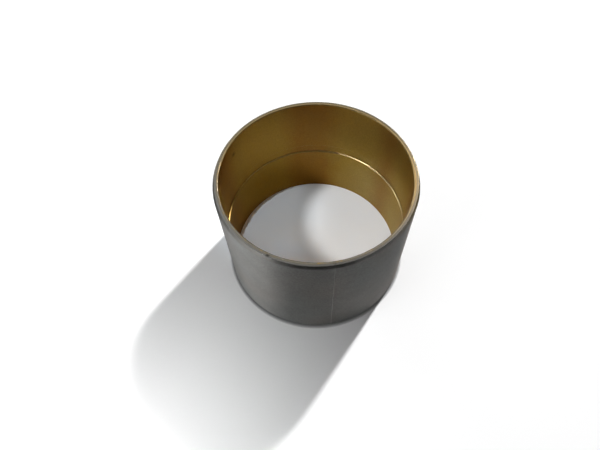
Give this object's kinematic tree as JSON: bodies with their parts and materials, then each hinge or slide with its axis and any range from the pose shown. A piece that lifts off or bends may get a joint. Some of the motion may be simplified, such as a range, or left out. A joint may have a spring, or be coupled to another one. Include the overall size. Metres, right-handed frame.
{
  "type": "wrapped bimetal plain bush",
  "caption": "Plain cylindrical bush rolled from strip: a steel back with a bonded bronze lining, a ring oil groove at mid-length and lead-in chamfers at both ends.",
  "frame": {"origin": "centre of the lower end face, on the bush's axis", "axes": "+Z along the bore's axis, up from the lower end; the strip's butt joint faces between -Y and +X, 10 degrees from -Y"},
  "size_m": [0.085, 0.085, 0.06],
  "materials": {
    "steel": "satin, rolled and lightly turned",
    "bronze": "satin, fine bored"
  },
  "bodies": {
    "root": {"steel_back": "steel", "bronze_lining": "bronze"}
  },
  "joints": []
}
